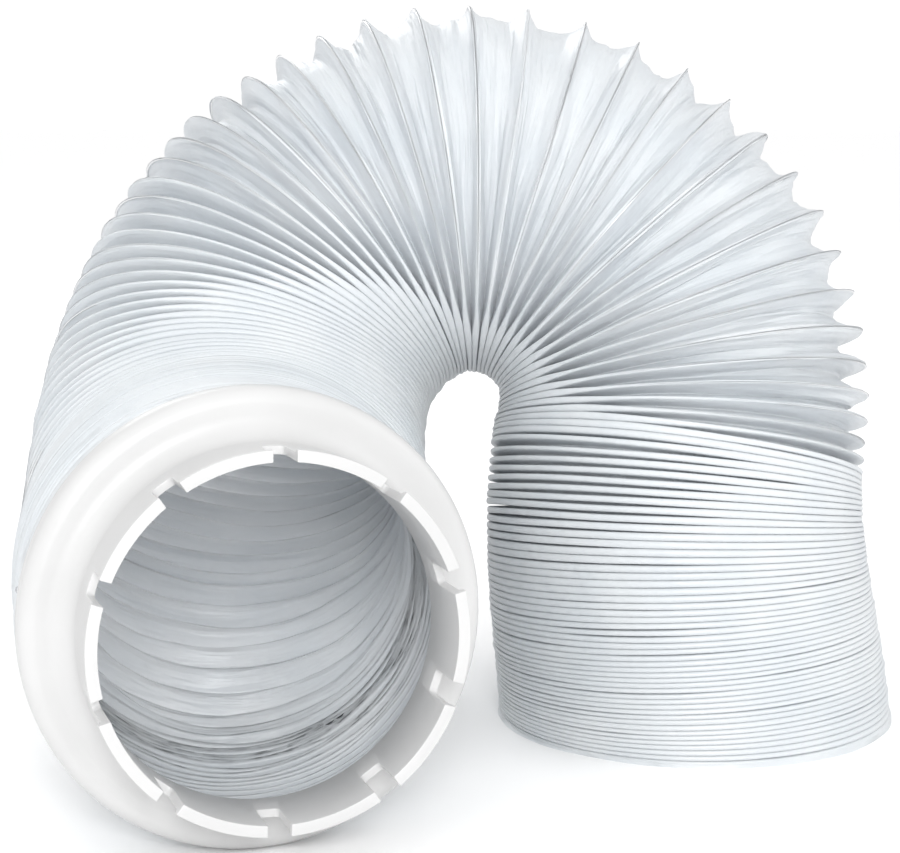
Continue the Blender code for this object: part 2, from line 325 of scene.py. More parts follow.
class HoseRoute:
    """Where each turn's ring lies: its centre, and a frame whose Z is the hose's axis."""

    SAMPLES_A_TURN = 8

    def __init__(self, sizes: HoseSizes, start: Vector) -> None:
        """Walks the route from the bare end.

        Args:
            sizes: The hose's driving sizes.
            start: The centre of the bare end.
        """
        self.sizes = sizes
        self.steps = []
        centre = start.copy()
        turned = Quaternion()
        for turn in range(sizes.turns + 1):
            arch, swing, inner_pitch, slide = self.bend_at(turn + 0.5)
            pitch = inner_pitch + sizes.radius * math.hypot(arch, swing)
            self.steps.append((centre, turned, arch, swing, pitch, slide))
            centre, turned = self.step_along(turn, 1.0)

    @staticmethod
    def bend_at(turn: float) -> tuple[float, float, float, float]:
        """Returns the arch, swing, inner pitch and slide at a turn, between its two stations."""
        for before, after in zip(ROUTE, ROUTE[1:]):
            if turn <= after.turn:
                break
        share = (turn - before.turn) / (after.turn - before.turn)
        arch = before.arch + share * (after.arch - before.arch)
        swing = before.swing + share * (after.swing - before.swing)
        inner_pitch = before.inner_pitch + share * (after.inner_pitch - before.inner_pitch)
        slide = before.slide + share * (after.slide - before.slide)
        return math.radians(arch), math.radians(swing), inner_pitch, slide

    def step_along(self, turn: int, share: float) -> tuple[Vector, Quaternion]:
        """Returns the centre and frame a share of a turn past a whole turn."""
        centre, turned, arch, swing, pitch, slide = self.steps[turn]
        bend = math.hypot(arch, swing)
        axis = Vector((swing, -arch, 0.0)) / bend
        halfway = turned @ Quaternion(axis, bend * share / 2)
        moved = centre + halfway @ Vector((slide * share, 0.0, pitch * share))
        return moved, turned @ Quaternion(axis, bend * share)

    def at(self, turn: float) -> tuple[Vector, Quaternion]:
        """Returns the ring's centre and frame at any turn."""
        whole = min(max(int(math.floor(turn)), 0), self.sizes.turns)
        return self.step_along(whole, turn - whole)

    def carrier(self, name: str) -> bpy.types.Object:
        """Makes an object whose points are the ring centres, with each ring's two axes on them.

        The axes are longer than one where the hose is wider than its plain radius.

        Args:
            name: The new object's name.

        Returns:
            The object, on which a node tree builds a piece.
        """
        count = self.sizes.turns * self.SAMPLES_A_TURN + 1
        turns = [number / self.SAMPLES_A_TURN for number in range(count)]
        rings = [self.at(turn) for turn in turns]
        widths = [1 + self.sizes.spread_at(turn) / self.sizes.radius for turn in turns]
        mesh = bpy.data.meshes.new(name)
        mesh.from_pydata([centre for centre, _ in rings], [], [])
        for axis_name, axis in (("across", Vector((1, 0, 0))), ("beside", Vector((0, 1, 0)))):
            attribute = mesh.attributes.new(axis_name, "FLOAT_VECTOR", "POINT")
            values = [
                value
                for (_, turned), width in zip(rings, widths)
                for value in turned @ axis * width
            ]
            attribute.data.foreach_set("vector", values)
        return placed(name, mesh)


@dataclass(frozen=True)
class RingNoise:
    """Smooth noise round the rings: how fast it varies round a ring and from turn to turn."""

    around: float
    along: float
    seed: float
    detail: float = 0.0


@dataclass(frozen=True)
class WebNoise:
    """Smooth noise over the webs: how fast it varies along the wire and across a web."""

    along: float
    across: float
    seed: float
    slant: float = 0.0


@dataclass(frozen=True)
class Unevenness:
    """How far the turns stray from an even screw line, in metres, as a used hose's do."""

    pitch_swing: float = 0.0005
    pitch_noise: RingNoise = RingNoise(around=0.6, along=0.30, seed=11.0, detail=1.0)
    slide_swing: float = 0.0012
    slide_scale: float = 0.55
    slide_seeds: tuple[float, float] = (11.0, 5.0)
    settled_turns: float = 6.0


class RingField(Graph):
    """A geometry node tree in which the route's rings can be looked up."""

    SOCKETS = {float: "NodeSocketFloat", int: "NodeSocketInt", type(None): "NodeSocketMaterial"}

    def __init__(self, name: str, inputs: Mapping[str, Any]) -> None:
        """Makes the tree and its named inputs.

        Args:
            name: The tree's name.
            inputs: The default of each input after the route, by name. Its type decides the
                kind of socket, and None stands for a material.
        """
        super().__init__(bpy.data.node_groups.new(name, "GeometryNodeTree"))
        face = self.tree.interface
        face.new_socket("Route", in_out="INPUT", socket_type="NodeSocketGeometry")
        for label, value in inputs.items():
            kind = self.SOCKETS[type(value)]
            socket = face.new_socket(label, in_out="INPUT", socket_type=kind)
            if value is not None:
                socket.default_value = value
        face.new_socket("Piece", in_out="OUTPUT", socket_type="NodeSocketGeometry")
        self.entry = self.add("NodeGroupInput")
        self.place = self.term("GeometryNodeInputPosition")
        named = "GeometryNodeInputNamedAttribute"
        as_vector = {"data_type": "FLOAT_VECTOR"}
        self.ring_axes = [
            self.term(named, as_vector, {"Name": label}) for label in ("across", "beside")
        ]

    def given(self, label: str) -> Term:
        """Returns a named input of the tree."""
        return Term(self, self.entry.outputs[label])

    def looked_up(self, field: Term, turn: Term) -> Term:
        """Returns a route field at a turn, blended between the two samples beside it."""
        step = turn * float(HoseRoute.SAMPLES_A_TURN)
        below = self.maths("FLOOR", step)
        settings = {"data_type": "FLOAT_VECTOR", "domain": "POINT", "clamp": True}
        ends = [
            self.term(
                "GeometryNodeSampleIndex",
                settings,
                {"Geometry": self.given("Route"), "Value": field, "Index": index},
            )
            for index in (below, below + 1.0)
        ]
        return self.term(
            "ShaderNodeMix",
            {"data_type": "VECTOR"},
            {"Factor": step - below, "A": ends[0], "B": ends[1]},
            "Result",
        )

    def ring(self, turn: Term) -> tuple[Term, Term, Term]:
        """Returns the centre and the two axes of the ring at a turn."""
        centre = self.looked_up(self.place, turn)
        across, beside = (self.looked_up(axis, turn) for axis in self.ring_axes)
        return centre, across, beside

    def round_the_ring(self, turn: Term) -> tuple[Term, Term]:
        """Returns the cosine and the sine of the angle round the ring at a turn."""
        angle = turn * math.tau
        return self.maths("COSINE", angle), self.maths("SINE", angle)

    def ring_noise(self, cosine: Term, sine: Term, along: Term, noise: RingNoise) -> Term:
        """Returns noise round the rings.

        Args:
            cosine: The cosine of the angle round the ring.
            sine: Its sine.
            along: How far along the hose the place is.
            noise: How the noise varies.

        Returns:
            The noise, about zero.
        """
        place = self.vector(
            cosine * noise.around, sine * noise.around, along * noise.along + noise.seed
        )
        return self.noise(place, detail=noise.detail)

    def web_noise(self, turn: Term, share: Term, noise: WebNoise) -> Term:
        """Returns noise over the webs, at a turn and a share of the way across a web."""
        across = share * noise.across + turn * noise.slant
        return self.noise(self.vector(turn * noise.along, across, noise.seed), detail=1.0)

    def wire_at(self, turn: Term, radius: Operand, stray: Unevenness) -> tuple[Term, Term, Term]:
        """Returns where the wire is at a turn, which way is outwards and which way is onwards.

        Args:
            turn: Turns along the screw line, whose fraction is the angle round the ring.
            radius: The radius of the screw line.
            stray: How far the turns stray from it.

        Returns:
            The place, the outward direction and the direction of the hose's axis.
        """
        cosine, sine = self.round_the_ring(turn)
        centre, across, beside = self.ring(turn)
        outward = across * cosine + beside * sine
        onward = self.crossed(across, beside)
        settled = self.smooth_step(turn, 0.0, stray.settled_turns)
        drift = self.ring_noise(cosine, sine, turn, stray.pitch_noise)
        drift = drift * settled * (2 * stray.pitch_swing)
        first_seed, other_seed = stray.slide_seeds
        moved = turn * stray.slide_scale
        slide_x = self.noise(self.vector(0.0, first_seed, moved))
        slide_y = self.noise(self.vector(first_seed, other_seed, moved))
        slide = (across * slide_x + beside * slide_y) * stray.slide_swing
        return centre + outward * radius + onward * drift + slide, outward, onward

    def grid(self, turns: Operand, rows: str) -> tuple[Term, Term, Term]:
        """Adds the flat grid that a piece is made from.

        Args:
            turns: How many turns long it is.
            rows: The name of the input that says how many rows it has across.

        Returns:
            The grid, how many turns into it each point lies and the share of the way across.
        """
        grid = self.term(
            "GeometryNodeMeshGrid",
            None,
            {
                "Size X": turns,
                "Size Y": 1.0,
                "Vertices X": turns * self.given("Steps a turn") + 1.0,
                "Vertices Y": self.given(rows) + 1.0,
            },
            "Mesh",
        )
        along, across, _ = self.split(self.place)
        return grid, along + turns * 0.5, across + 0.5

    def stored(self, mesh: Term, label: str, value: Operand, kind: str = "FLOAT") -> Term:
        """Stores a value on a mesh's points, under a name that a material can read."""
        return self.term(
            "GeometryNodeStoreNamedAttribute",
            {"data_type": kind, "domain": "POINT"},
            {"Geometry": mesh, "Name": label, "Value": value},
        )

    def close(self, mesh: Term, place: Term, weld: float) -> None:
        """Ends the tree.

        Args:
            mesh: The flat grid.
            place: Where each of its points goes.
            weld: How near the points of the screw line's seam lie, which become one.
        """
        inputs = {"Geometry": mesh, "Position": place}
        shaped = self.term("GeometryNodeSetPosition", None, inputs)
        welded = self.term(
            "GeometryNodeMergeByDistance", None, {"Geometry": shaped, "Distance": weld}
        )
        smooth = self.term("GeometryNodeSetShadeSmooth", None, {"Geometry": welded})
        real = self.term("GeometryNodeRealizeInstances", None, {"Geometry": smooth})
        finished = self.term(
            "GeometryNodeSetMaterial", None, {"Geometry": real, "Material": self.given("Finish")}
        )
        self.add("NodeGroupOutput", None, {"Piece": finished})


def grown(
    carrier: bpy.types.Object, tree: bpy.types.NodeTree, values: Mapping[str, Any]
) -> bpy.types.Object:
    """Turns a carrier into the plain mesh that a node tree grows on it.

    Args:
        carrier: The object that holds the route.
        tree: The node tree.
        values: The tree's inputs, by name.

    Returns:
        A new object of plain mesh, which has the carrier's name.
    """
    name = carrier.name
    modifier = carrier.modifiers.new("grow", "NODES")
    modifier.node_group = tree
    for item in tree.interface.items_tree:
        if item.item_type == "SOCKET" and item.name in values:
            modifier[item.identifier] = values[item.name]
    mesh = baked(carrier)
    bpy.data.objects.remove(carrier, do_unlink=True)
    mesh.name = name
    return placed(name, mesh)


@dataclass(frozen=True)
class Strip:
    """One stretch of the pleated film, as a piece of its own."""

    name: str
    first_turn: int
    last_turn: int
    steps_a_turn: int
    rows: int
    flat_start: bool = False
    flat_end: bool = False


@dataclass(frozen=True)
class EndBand:
    """The plain film between the wire's last turn and an end ring, as a piece of its own."""

    name: str
    wire_turn: int
    end_turn: int
    end_rise: float
    bulge: float
    ripple: float
    end_ripple: float = 0.0


@dataclass
class PleatedFilm:
    """The film sleeve: a hem, pleats in four stretches and a cuff."""

    sizes: HoseSizes
    route: HoseRoute
    stray: Unevenness
    leg_steps: int = 96
    leg_rows: int = 12
    fan_steps: int = 192
    fan_rows: int = 30
    shoulder_rows: int = 14
    band_rows: int = 14
    crest_over_wire: float = 0.0002
    closed_gap: float = 0.0022
    open_gap: float = 0.0085
    ridge_height: float = 0.00045
    closed_ridge: float = 0.00120
    open_ridge: float = 0.00042
    closed_ridge_gap: float = 0.0018
    open_ridge_gap: float = 0.0032
    ridge_share: float = 0.34
    ridge_sweep: float = math.radians(80)
    slot_share: float = 0.022
    slot_swing: float = 0.10
    slot_side: float = 0.09
    slot_onset: tuple[float, float] = (0.08, 0.26)
    slot_noise: RingNoise = RingNoise(around=0.8, along=0.9, seed=31.0)
    fold_depth: float = 0.0075
    depth_swing: float = 0.5
    depth_noise: RingNoise = RingNoise(around=1.2, along=1.3, seed=3.0, detail=1.0)
    film_width: float = 0.0206
    tightest: float = 0.98
    closed_bow: float = 1.1
    bow_gain: float = 0.9
    fold_lean: float = 0.0005
    lean_noise: RingNoise = RingNoise(around=1.3, along=0.11, seed=0.0, detail=1.0)
    fold_shuffle: float = 0.0002
    shuffle_noise: RingNoise = RingNoise(around=1.1, along=1.1, seed=40.0)
    crease: float = 0.0036
    crease_noise: WebNoise = WebNoise(along=4.2, across=2.6, seed=17.0)
    side_crease: float = 0.00288
    side_crease_noise: WebNoise = WebNoise(along=4.2, across=2.6, seed=53.0)
    fine_crease: float = 0.0006
    fine_crease_noise: WebNoise = WebNoise(along=9.0, across=6.0, seed=71.0, slant=2.0)
    fine_crease_sharpness: float = 5.0
    starting_turns: float = 0.5
    fading_turns: float = 16.0
    rim_noise: RingNoise = RingNoise(around=1.8, along=0.0, seed=4.0, detail=1.0)
    bulge_share: float = 0.6
    bulge_swing: float = 1.6
    bulge_noise: RingNoise = RingNoise(around=0.9, along=0.0, seed=9.0)
    ripple_noise: RingNoise = RingNoise(around=7.0, along=1.5, seed=0.0, detail=2.0)
    weld: float = 0.00001

    @property
    def crest_radius(self) -> float:
        """Where the film lies on top of the wire."""
        return self.sizes.radius + self.crest_over_wire

    def strips(self) -> tuple[Strip, ...]:
        """Returns the stretches from the bare end to the cuff."""
        sizes = self.sizes
        first, last = sizes.fan_first_turn, sizes.fan_last_turn - 1
        crown = (first + last) // 2
        end = sizes.wire_last_turn - 1
        leg, fan = self.leg_steps, self.fan_steps
        return (
            Strip("foot_pleats", 0, first, leg, self.leg_rows, flat_start=True),
            Strip("rising_webs", first, crown, fan, self.fan_rows),
            Strip("falling_webs", crown, last, fan, self.fan_rows),
            Strip("shoulder_pleats", last, end, leg, self.shoulder_rows, flat_end=True),
        )

    def bands(self) -> tuple[EndBand, ...]:
        """Returns the hem at the bare end and the cuff at the collar."""
        sizes = self.sizes
        return (
            EndBand(
                name="bare_end_hem",
                wire_turn=0,
                end_turn=0,
                end_rise=0.0002,
                bulge=0.0001,
                ripple=0.0003,
                end_ripple=0.0024,
            ),
            EndBand(
                name="collar_cuff",
                wire_turn=sizes.wire_last_turn - 1,
                end_turn=sizes.turns,
                end_rise=-0.0008,
                bulge=0.0024,
                ripple=0.0012,
            ),
        )

    def pleat_tree(self) -> bpy.types.NodeTree:
        """Builds the tree for a stretch of pleats.

        Across a pleat, rows run from one turn of wire to the next: over the wire on a small
        ridge, down the fold to its valley, and up again.

        Returns:
            The node tree.
        """
        field = RingField(
            "hose_pleats",
            {
                "First turn": 0.0,
                "Turns": 1,
                "Steps a turn": self.leg_steps,
                "Rows": self.leg_rows,
                "Fold depth": self.fold_depth,
                "Film width": self.film_width,
                "Flat start": 0.0,
                "Flat end": 0.0,
                "Finish": None,
            },
        )
        turns = field.given("Turns")
        grid, run, share = field.grid(turns, "Rows")
        turn = run + field.given("First turn")

        low, low_out, low_on = field.wire_at(turn, self.crest_radius, self.stray)
        high, high_out, high_on = field.wire_at(turn + 1.0, self.crest_radius, self.stray)
        span = high - low
        gap = field.length(span)
        along = field.normalised(span)
        outward = field.normalised(low_out + high_out)

        from_valley = field.maths("ABSOLUTE", share * 2.0 - 1.0)
        past_half = field.maths("GREATER_THAN", share, 0.5)
        openness = field.smooth_step(gap, self.closed_gap, self.open_gap)
        cosine, sine = field.round_the_ring(turn)

        side = field.split(low_out)[0]
        slot = field.ring_noise(cosine, sine, turn, self.slot_noise) - side * self.slot_side
        slot = field.smooth_step(slot, *self.slot_onset) * self.slot_swing + self.slot_share
        narrowing = field.smooth_step(gap, self.closed_ridge_gap, self.open_ridge_gap)
        widest = self.closed_ridge - narrowing * (self.closed_ridge - self.open_ridge)
        ridge = field.maths("MINIMUM", widest, gap * (0.5 - slot))
        sweep = (
            field.maths("MINIMUM", (1.0 - from_valley) / self.ridge_share, 1.0) * self.ridge_sweep
        )
        ridge_foot_x = ridge * math.sin(self.ridge_sweep)
        ridge_foot_y = self.ridge_height * (1 - math.cos(self.ridge_sweep))
        down = field.maths("MINIMUM", from_valley / (1 - self.ridge_share), 1.0)

        deeper = field.ring_noise(cosine, sine, turn, self.depth_noise) * self.depth_swing + 1.0
        stretch = field.maths("MINIMUM", gap / field.given("Film width"), self.tightest)
        slack = field.maths("SQRT", 1.0 - stretch * stretch)
        start_flat = field.smooth_step(run, 0.0, self.starting_turns)
        end_flat = field.smooth_step(turns - run, 0.0, self.fading_turns)
        folded = (1.0 - field.given("Flat start") * (1.0 - start_flat)) * (
            1.0 - field.given("Flat end") * (1.0 - end_flat)
        )
        depth = field.given("Fold depth") * slack * folded * deeper
        bow = openness * self.bow_gain + self.closed_bow
        fall = 1.0 - down**bow
        over_wire = (1.0 - field.maths("COSINE", sweep)) * self.ridge_height
        inward = over_wire + (depth - ridge_foot_y) * fall
        half_way = ridge * field.maths("SINE", sweep) + (gap * 0.5 - ridge_foot_x) * (1.0 - down)
        sign = 1.0 - past_half * 2.0
        forward = half_way * sign + gap * past_half

        web = hump(share)
        crease_in = field.web_noise(turn, share, self.crease_noise) * web * openness
        crease_in = crease_in * (2 * self.crease)
        crease_on = field.web_noise(turn, share, self.side_crease_noise) * web * openness
        crease_on = crease_on * (2 * self.side_crease)
        streak = field.maths("ABSOLUTE", field.web_noise(turn, share, self.fine_crease_noise))
        sharp = field.maths("MINIMUM", streak * self.fine_crease_sharpness, 1.0)
        fine_in = (1.0 - sharp) * web * openness * self.fine_crease

        lean = field.ring_noise(cosine, sine, turn, self.lean_noise) * (2 * self.fold_lean)
        shuffle = field.ring_noise(cosine, sine, turn, self.shuffle_noise)
        lean = (lean + shuffle * (2 * self.fold_shuffle)) * ((1.0 - openness) * fall)
        onward = field.normalised(low_on + high_on)
        place = (
            low
            + along * (forward + crease_on)
            - outward * (inward + crease_in + fine_in)
            + onward * lean
        )
        grid = field.stored(grid, "openness", openness)
        grid = field.stored(grid, "slackness", 1.0 - folded)
        grid = field.stored(grid, "web_place", field.vector(turn, share, 0.0), "FLOAT_VECTOR")
        field.close(grid, place, self.weld)
        return field.tree

    def band_tree(self) -> bpy.types.NodeTree:
        """Builds the tree for the plain film between the wire's last turn and an end ring.

        Returns:
            The node tree.
        """
        field = RingField(
            "hose_end_band",
            {
                "Wire turn": 0.0,
                "End turn": 0.0,
                "End radius": self.crest_radius,
                "Bulge": 0.0,
                "Ripple": 0.0,
                "End ripple": 0.0,
                "Steps a turn": self.fan_steps,
                "Rows": self.band_rows,
                "Finish": None,
            },
        )
        grid, run, share = field.grid(1.0, "Rows")
        turn = run + field.given("Wire turn")
        forwards = field.maths("GREATER_THAN", field.given("End turn"), field.given("Wire turn"))
        away = share * forwards + (1.0 - share) * (1.0 - forwards)

        wire, outward, _ = field.wire_at(turn, self.crest_radius, self.stray)
        centre, across, beside = field.ring(field.given("End turn"))
        cosine, sine = field.round_the_ring(turn)
        ring_out = across * cosine + beside * sine
        rim_ripple = field.ring_noise(cosine, sine, turn, self.rim_noise)
        rim_ripple = rim_ripple * field.given("End ripple")
        end = centre + ring_out * (field.given("End radius") + rim_ripple)
        belly = hump(away)
        bulge = field.ring_noise(cosine, sine, turn, self.bulge_noise) * self.bulge_swing
        bulge = (bulge + self.bulge_share) * field.given("Bulge") * belly
        ripple = field.ring_noise(cosine, sine, away, self.ripple_noise)
        ripple = ripple * field.given("Ripple") * belly
        place = wire + (end - wire) * away + outward * (bulge + ripple)
        field.close(field.stored(grid, "slackness", 1.0), place, self.weld)
        return field.tree

    def build(self, finish: bpy.types.Material) -> list[bpy.types.Object]:
        """Makes the hem, the pleats and the cuff.

        Args:
            finish: The film's material.

        Returns:
            The pieces.
        """
        tree = self.pleat_tree()
        pieces = []
        for strip in self.strips():
            values = {
                "First turn": float(strip.first_turn),
                "Turns": strip.last_turn - strip.first_turn,
                "Steps a turn": strip.steps_a_turn,
                "Rows": strip.rows,
                "Flat start": float(strip.flat_start),
                "Flat end": float(strip.flat_end),
                "Finish": finish,
            }
            pieces.append(grown(self.route.carrier(strip.name), tree, values))
        tree = self.band_tree()
        for band in self.bands():
            values = {
                "Wire turn": float(band.wire_turn),
                "End turn": float(band.end_turn),
                "End radius": self.crest_radius + band.end_rise,
                "Bulge": band.bulge,
                "Ripple": band.ripple,
                "End ripple": band.end_ripple,
                "Finish": finish,
            }
            pieces.append(grown(self.route.carrier(band.name), tree, values))
        return pieces


@dataclass
class SpringWire:
    """The wire that the film is stretched over, as one long screw line."""

    sizes: HoseSizes
    route: HoseRoute
    stray: Unevenness
    first_turn: int = 1
    last_turn: int = 124
    steps_a_turn: int = 72
    sides: int = 5
    wire_radius: float = 0.00034
    under_crest: float = 0.00022
    weld: float = 0.00001

    def tree(self) -> bpy.types.NodeTree:
        """Builds the tree: a round tube along the screw line.

        Returns:
            The node tree.
        """
        field = RingField(
            "hose_wire",
            {
                "First turn": 0.0,
                "Turns": 1,
                "Steps a turn": self.steps_a_turn,
                "Sides": self.sides,
                "Wire radius": self.wire_radius,
                "Finish": None,
            },
        )
        grid, run, share = field.grid(field.given("Turns"), "Sides")
        turn = run + field.given("First turn")
        round_angle = share * math.tau
        radius = self.sizes.radius - self.under_crest
        place, outward, onward = field.wire_at(turn, radius, self.stray)
        bulge = outward * (field.maths("COSINE", round_angle) * field.given("Wire radius"))
        side = onward * (field.maths("SINE", round_angle) * field.given("Wire radius"))
        field.close(grid, place - bulge + side, self.weld)
        return field.tree

    def build(self, finish: bpy.types.Material) -> bpy.types.Object:
        """Makes the wire with closed ends.

        Args:
            finish: The wire's material.

        Returns:
            The piece.
        """
        first = self.first_turn
        values = {
            "First turn": float(first),
            "Turns": self.last_turn - first,
            "Steps a turn": self.steps_a_turn,
            "Sides": self.sides,
            "Finish": finish,
        }
        piece = grown(self.route.carrier("spring_wire_turns"), self.tree(), values)
        close_ends(piece.data)
        return piece


def close_ends(mesh: bpy.types.Mesh) -> None:
    """Fills the open ends of a tube and points its faces outwards."""
    shape = bmesh.new()
    shape.from_mesh(mesh)
    open_edges = [edge for edge in shape.edges if edge.is_boundary]
    bmesh.ops.holes_fill(shape, edges=open_edges, sides=0)
    bmesh.ops.recalc_face_normals(shape, faces=shape.faces)
    shape.to_mesh(mesh)
    shape.free()


@dataclass
class PushInCollar:
    """The moulded collar: a spigot, a rounded rim, a groove and a skirt cut into tabs."""

    route: HoseRoute
    sizes: HoseSizes
    rim_diameter: float = 0.1105
    rim_width: float = 0.0080
    lip_round: float = 0.0040
    groove_radius: float = 0.0060
    wall: float = 0.0020
    depth: float = 0.0330
    neck_diameter: float = 0.0865
    bead: float = 0.0008
    bead_width: float = 0.0020
    spigot_radius: float = 0.0499
    spigot_length: float = 0.0050
    slot_count: int = 10
    slot_width: float = 0.0055
    slot_depth: float = 0.0130
    slot_corner: float = 0.0012
    slot_corner_pieces: int = 4
    rim_chamfer: float = 0.0008
    seat: float = 0.0001
    first_slot: float = math.radians(24)
    segments: int = 120
    arc_pieces: int = 10
    edge_round: float = 0.00035
    edge_pieces: int = 3
    edge_angle: float = math.radians(32)
    sharp_angle: float = math.radians(50)
    weld: float = 0.00001
    near: float = 0.0001

    def arc(
        self, centre: tuple[float, float], radius: float, start: float, end: float
    ) -> list[tuple[float, float]]:
        """Returns the points of a round corner, from one angle in degrees to another."""
        count = self.arc_pieces
        angles = [math.radians(start + (end - start) * i / count) for i in range(count + 1)]
        return [
            (centre[0] + radius * math.cos(angle), centre[1] + radius * math.sin(angle))
            for angle in angles
        ]

    def outline(self) -> list[tuple[float, float]]:
        """Returns the collar's section as radius and height, from the skirt's edge round."""
        neck = self.neck_diameter / 2
        rim = self.rim_diameter / 2
        bead = neck + self.bead
        edge = self.depth
        groove = self.groove_radius
        lip = self.lip_round
        spigot_bore = self.spigot_radius - self.wall
        points = [(bead, edge), (bead, edge - self.bead_width)]
        points.append((neck, edge - self.bead_width - self.bead))
        points += self.arc((neck + groove, self.rim_width + groove), groove, 180, 270)
        points += self.arc((rim - lip, self.rim_width - lip), lip, 90, 0)
        points += [(rim, self.rim_chamfer), (rim - self.rim_chamfer, self.seat)]
        points += [(self.spigot_radius, self.seat), (self.spigot_radius, -self.spigot_length)]
        points += [(spigot_bore, -self.spigot_length), (spigot_bore, self.seat)]
        points.append((neck - self.wall, self.rim_width + groove / 2))
        points.append((neck - self.wall, edge))
        return points

    def turned(self) -> bpy.types.Object:
        """Makes the outline into a turned body."""
        points = [(radius, 0.0, height) for radius, height in self.outline()]
        last = len(points) - 1
        edges = [(i, i + 1) for i in range(last)] + [(last, 0)]
        mesh = bpy.data.meshes.new("collar_body")
        mesh.from_pydata(points, edges, [])
        obj = placed("collar_body", mesh)
        screw = obj.modifiers.new("turn", "SCREW")
        screw.steps = screw.render_steps = self.segments
        screw.use_merge_vertices = True
        screw.merge_threshold = self.weld
        return obj

    def cutters(self) -> bpy.types.Object:
        """Makes the slots between the tabs, with round corners at their ends."""
        shape = bmesh.new()
        reach = 4 * (self.bead + self.wall)
        for number in range(self.slot_count):
            turn = Matrix.Rotation(self.first_slot + math.tau * number / self.slot_count, 4, "Z")
            place = Matrix.Translation((self.neck_diameter / 2 - self.wall / 2, 0.0, self.depth))
            scale = Matrix.Diagonal((reach, self.slot_width, 2 * self.slot_depth, 1.0))
            made = bmesh.ops.create_cube(shape, size=1.0, matrix=turn @ place @ scale)
            foot = self.depth - self.slot_depth
            low = [v for v in made["verts"] if v.co.z < foot + self.near]
            ends = [
                edge
                for edge in {e for v in low for e in v.link_edges}
                if all(v in low for v in edge.verts)
                and abs((edge.verts[1].co - edge.verts[0].co).length - reach) < self.near
            ]
            bmesh.ops.bevel(
                shape,
                geom=ends,
                offset=self.slot_corner,
                segments=self.slot_corner_pieces,
                profile=0.5,
                affect="EDGES",
            )
        mesh = bpy.data.meshes.new("slot_cutters")
        shape.to_mesh(mesh)
        shape.free()
        return placed("slot_cutters", mesh)

    def build(self, finish: bpy.types.Material) -> bpy.types.Object:
        """Makes the collar where the hose ends.

        Args:
            finish: The collar's material.

        Returns:
            The piece.
        """
        body = self.turned()
        slots = self.cutters()
        cut = body.modifiers.new("slots", "BOOLEAN")
        cut.operation = "DIFFERENCE"
        cut.solver = "EXACT"
        cut.object = slots
        soften = body.modifiers.new("edges", "BEVEL")
        soften.width = self.edge_round
        soften.segments = self.edge_pieces
        soften.limit_method = "ANGLE"
        soften.angle_limit = self.edge_angle
        soften.use_clamp_overlap = True
        mesh = baked(body)
        for helper in (body, slots):
            bpy.data.objects.remove(helper, do_unlink=True)
        centre, turned = self.route.at(self.sizes.turns)
        mesh.transform(Matrix.Translation(centre) @ turned.to_matrix().to_4x4())
        mesh.name = "moulded_collar"
        mesh.materials.clear()
        mesh.materials.append(finish)
        mesh.shade_smooth()
        mesh.set_sharp_from_angle(angle=self.sharp_angle)
        return placed("moulded_collar", mesh)


class Shader(Graph):
    """The node tree of one material, ready for its own nodes."""

    def __init__(self, name: str) -> None:
        """Makes an empty material."""
        self.material = bpy.data.materials.new(name)
        self.material.use_nodes = True
        super().__init__(self.material.node_tree)
        self.tree.nodes.clear()

    def object_place(self) -> Term:
        """Returns the object coordinates, in metres."""
        return self.term("ShaderNodeTexCoord", output="Object")

    def named(self, label: str, output: str) -> Term:
        """Returns a named attribute of the mesh, which is zero where the mesh has none."""
        return self.term("ShaderNodeAttribute", {"attribute_name": label}, output=output)

    def bump(self, height: Term, distance: float, below: Term | None = None) -> Term:
        """Returns a normal bent by a height.

        Args:
            height: The height, about 0 to 1.
            distance: How high 1 is, in metres.
            below: Another bump's normal, to which this one is added.

        Returns:
            The normal.
        """
        inputs: dict[Union[int, str], Any] = {
            "Height": height,
            "Distance": distance,
            "Strength": 1.0,
        }
        if below is not None:
            inputs["Normal"] = below
        return self.term("ShaderNodeBump", None, inputs)

    def mixed(self, factor: Operand, first: Any, second: Any) -> Term:
        """Returns a mix of two colours."""
        colours = {"Factor": factor, "A": first, "B": second}
        return self.term("ShaderNodeMix", {"data_type": "RGBA"}, colours, "Result")

    def show(self, surface: Term) -> bpy.types.Material:
        """Ends the tree at a surface shader."""
        self.add("ShaderNodeOutputMaterial", None, {"Surface": surface})
        return self.material


Colour = tuple[float, float, float, float]


